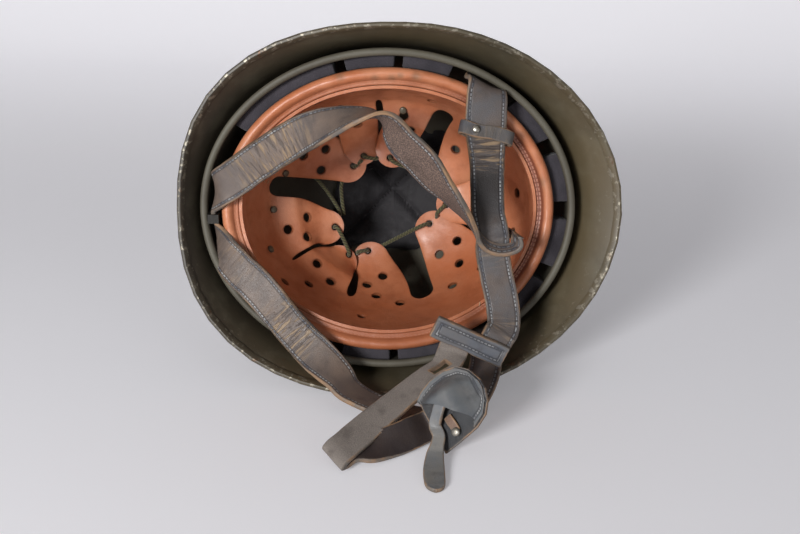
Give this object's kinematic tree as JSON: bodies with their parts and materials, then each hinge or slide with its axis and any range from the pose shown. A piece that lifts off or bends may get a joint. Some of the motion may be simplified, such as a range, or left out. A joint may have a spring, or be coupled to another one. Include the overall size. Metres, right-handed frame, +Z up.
{
  "type": "paratrooper helmet",
  "caption": "Steel paratrooper helmet lying on its side, with a lift-out liner, a laced leather headband with vented tongues, and a strap harness with chin cup.",
  "frame": {"origin": "centre of the bounding box's base, on the surface the helmet lies on", "axes": "+X towards the wearer's front, +Y into the helmet away from its opening, +Z up, towards the wearer's right"},
  "size_m": [0.2874, 0.3109, 0.2342],
  "materials": {
    "olive_paint": "worn matt olive paint",
    "bare_steel": "bare edge, rubbed and spotted with rust",
    "liner_rubber": "grey-green moulded rubber with a squared edge",
    "foam_rubber": "dark open foam rubber",
    "tan_leather": "smooth tan leather, polished by use",
    "dark_leather": "blue-grey grained leather with worn tan edges",
    "suede": "flesh side of grey leather",
    "cord": "twisted olive cord",
    "metal": "dull metal"
  },
  "bodies": {
    "shell": {"steel_shell": "olive_paint", "rim_edging": "bare_steel"},
    "liner": {"liner_shell": "liner_rubber", "crown_pad": "foam_rubber", "support_band": "foam_rubber", "foam_block_01": "foam_rubber", "foam_block_02": "foam_rubber", "foam_block_03": "foam_rubber", "foam_block_04": "foam_rubber", "foam_block_05": "foam_rubber", "foam_block_06": "foam_rubber", "foam_block_07": "foam_rubber", "foam_block_08": "foam_rubber", "foam_block_09": "foam_rubber", "foam_block_10": "foam_rubber", "headband_roll": "tan_leather", "tongued_leather": "tan_leather", "lace": "cord", "nape_anchor": "metal", "right_front_anchor": "metal", "left_front_anchor": "metal", "nape_strap": "dark_leather", "right_strap_upper": "dark_leather", "left_strap": "dark_leather"},
    "keeper": {"keeper_loop": "dark_leather", "keeper_rivet": "metal"},
    "side_strap_end": {"right_strap_lower": "dark_leather", "cross_bar": "dark_leather"},
    "chin_piece": {"chin_strap": "suede", "chin_cup": "dark_leather", "cup_lining": "suede", "cup_stud": "metal"},
    "tab": {"pull_tab": "suede"}
  },
  "joints": [
    {"name": "liner_slide", "type": "slide", "parent": "shell", "child": "liner", "axis": [0, -0.9853, 0.1707], "range_m": [0, 0.16]},
    {"name": "keeper_slide", "type": "slide", "parent": "liner", "child": "keeper", "axis": [0.0201, -0.431, -0.9021], "range_m": [-0.006, 0.006]},
    {"name": "side_strap_swing", "type": "hinge", "parent": "liner", "child": "side_strap_end", "pos_m": [0.0574, -0.02779, 0.0992], "axis": [-1, 0, 0], "range_deg": [0, 70]},
    {"name": "chin_swing", "type": "hinge", "parent": "side_strap_end", "child": "chin_piece", "pos_m": [0.03482, -0.04809, 0.04043], "axis": [-0.908, 0, 0.4191], "range_deg": [0, 35]},
    {"name": "tab_swing", "type": "hinge", "parent": "chin_piece", "child": "tab", "pos_m": [0.01972, -0.10336, 0.01614], "axis": [-0.4607, 0.6109, 0.6439], "range_deg": [0, 12]}
  ]
}
